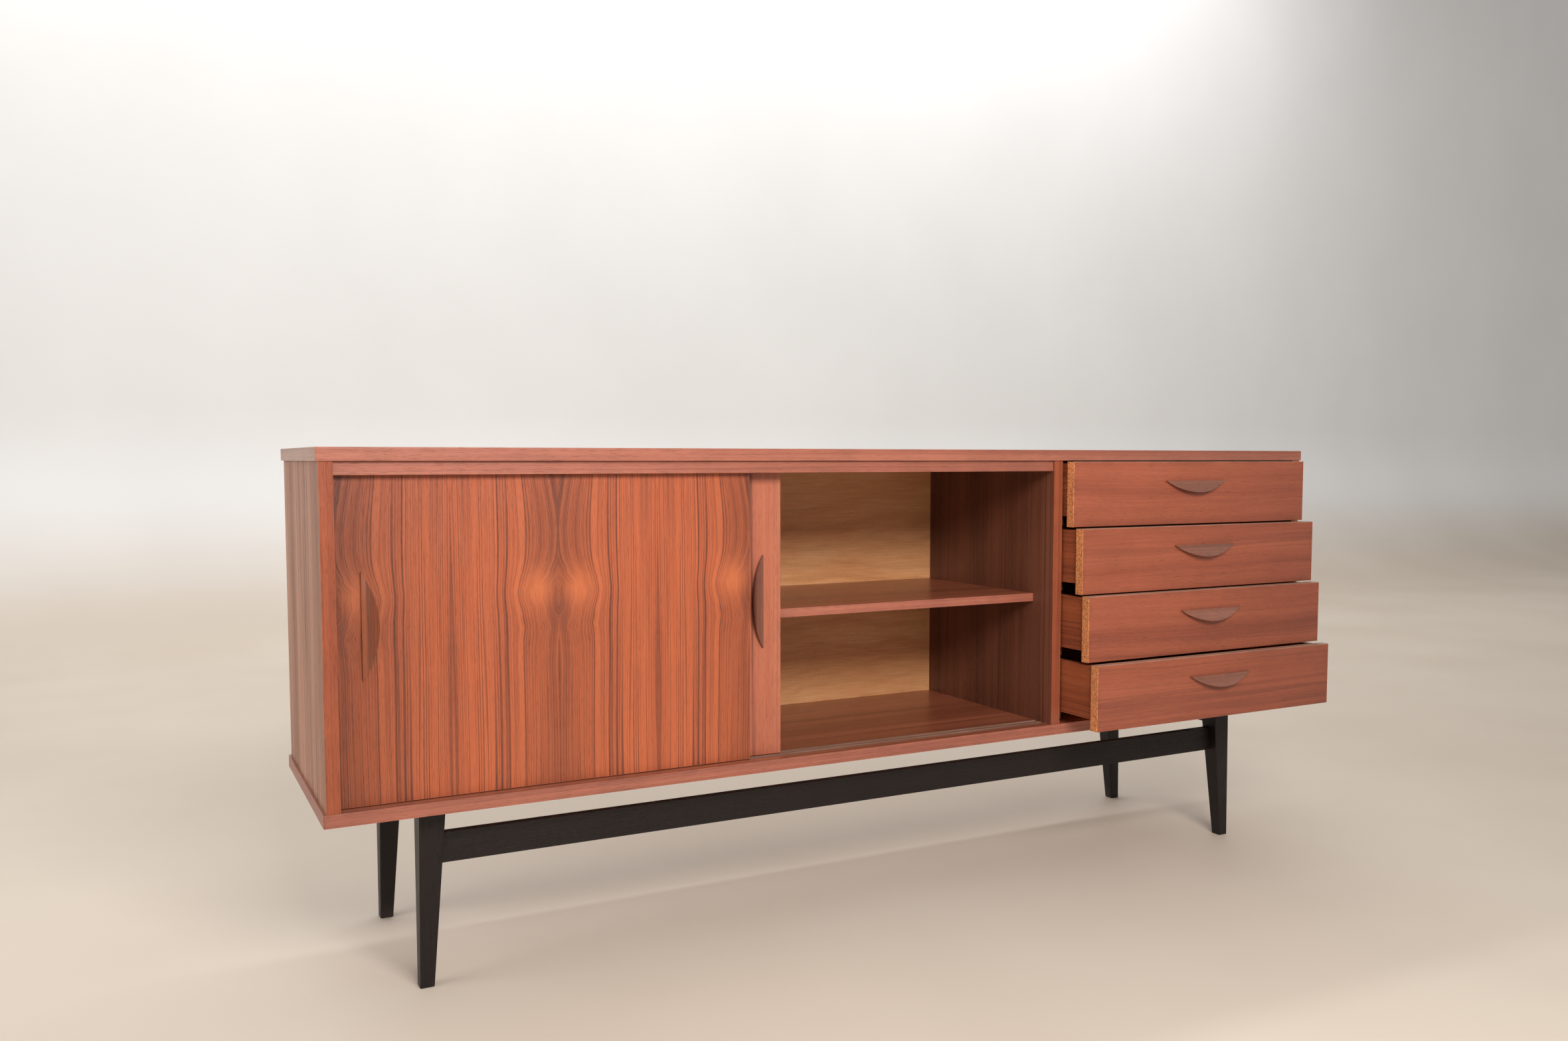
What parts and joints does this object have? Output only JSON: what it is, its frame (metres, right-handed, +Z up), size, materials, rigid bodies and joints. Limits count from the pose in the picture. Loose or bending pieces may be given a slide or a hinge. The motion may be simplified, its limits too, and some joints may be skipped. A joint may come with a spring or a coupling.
{
  "type": "sideboard buffet",
  "caption": "Long low wooden sideboard with overlapping sliding doors, a bank of drawers with crescent pulls, and a dark base frame on tapered legs.",
  "frame": {"origin": "on the floor, below the middle of the whole piece as it stands, with its drawers part-way out", "axes": "+X to the right along the length, +Y from the front to the back, +Z up"},
  "size_m": [1.9, 0.523, 0.79],
  "materials": {
    "veneered_wood": "satin oiled veneer",
    "drawer_box_wood": "matte lacquered hardwood",
    "runner_wood": "bare hardwood",
    "back_plywood": "rotary-cut plywood, thin lacquer",
    "dowel_wood": "bare beech",
    "black_base": "satin black lacquer on solid wood",
    "track_strip": "smooth moulded strip",
    "brass": "dull polished",
    "steel": "zinc plated"
  },
  "bodies": {
    "carcass": {"top_panel": "veneered_wood", "bottom_panel": "veneered_wood", "left_side_panel": "veneered_wood", "right_side_panel": "veneered_wood", "centre_divider": "veneered_wood", "bay_divider": "veneered_wood", "back_panel": "back_plywood", "top_rail": "veneered_wood", "carcass_dowels": "dowel_wood", "back_panel_nails": "steel", "left_shelf": "veneered_wood", "right_shelf": "veneered_wood", "shelf_pins": "brass", "front_running_strip": "track_strip", "rear_running_strip": "track_strip", "upper_door_track": "runner_wood", "left_drawer_runners": "runner_wood", "right_drawer_runners": "runner_wood", "front_left_leg": "black_base", "front_right_leg": "black_base", "rear_left_leg": "black_base", "rear_right_leg": "black_base", "left_end_rail": "black_base", "right_end_rail": "black_base", "rear_rail": "black_base", "front_stretcher": "black_base", "base_screws": "steel"},
    "front_sliding_door": {"front_sliding_door": "veneered_wood", "front_door_handle": "veneered_wood"},
    "rear_sliding_door": {"rear_sliding_door": "veneered_wood", "rear_door_handle": "veneered_wood"},
    "drawer_1": {"drawer_1_front": "veneered_wood", "drawer_1_left_side": "drawer_box_wood", "drawer_1_right_side": "drawer_box_wood", "drawer_1_back": "drawer_box_wood", "drawer_1_bottom": "back_plywood", "drawer_1_handle": "veneered_wood"},
    "drawer_2": {"drawer_2_front": "veneered_wood", "drawer_2_left_side": "drawer_box_wood", "drawer_2_right_side": "drawer_box_wood", "drawer_2_back": "drawer_box_wood", "drawer_2_bottom": "back_plywood", "drawer_2_handle": "veneered_wood"},
    "drawer_3": {"drawer_3_front": "veneered_wood", "drawer_3_left_side": "drawer_box_wood", "drawer_3_right_side": "drawer_box_wood", "drawer_3_back": "drawer_box_wood", "drawer_3_bottom": "back_plywood", "drawer_3_handle": "veneered_wood"},
    "drawer_4": {"drawer_4_front": "veneered_wood", "drawer_4_left_side": "drawer_box_wood", "drawer_4_right_side": "drawer_box_wood", "drawer_4_back": "drawer_box_wood", "drawer_4_bottom": "back_plywood", "drawer_4_handle": "veneered_wood"}
  },
  "joints": [
    {"name": "front_door_slide", "type": "slide", "parent": "carcass", "child": "front_sliding_door", "axis": [1, 0, 0], "range_m": [0, 0.0075]},
    {"name": "rear_door_slide", "type": "slide", "parent": "carcass", "child": "rear_sliding_door", "axis": [1, 0, 0], "range_m": [-0.0075, 0.54]},
    {"name": "drawer_1_slide", "type": "slide", "parent": "carcass", "child": "drawer_1", "axis": [0, -1, 0], "range_m": [-0.028, 0.272]},
    {"name": "drawer_2_slide", "type": "slide", "parent": "carcass", "child": "drawer_2", "axis": [0, -1, 0], "range_m": [-0.054, 0.246]},
    {"name": "drawer_3_slide", "type": "slide", "parent": "carcass", "child": "drawer_3", "axis": [0, -1, 0], "range_m": [-0.073, 0.227]},
    {"name": "drawer_4_slide", "type": "slide", "parent": "carcass", "child": "drawer_4", "axis": [0, -1, 0], "range_m": [-0.099, 0.201]}
  ]
}
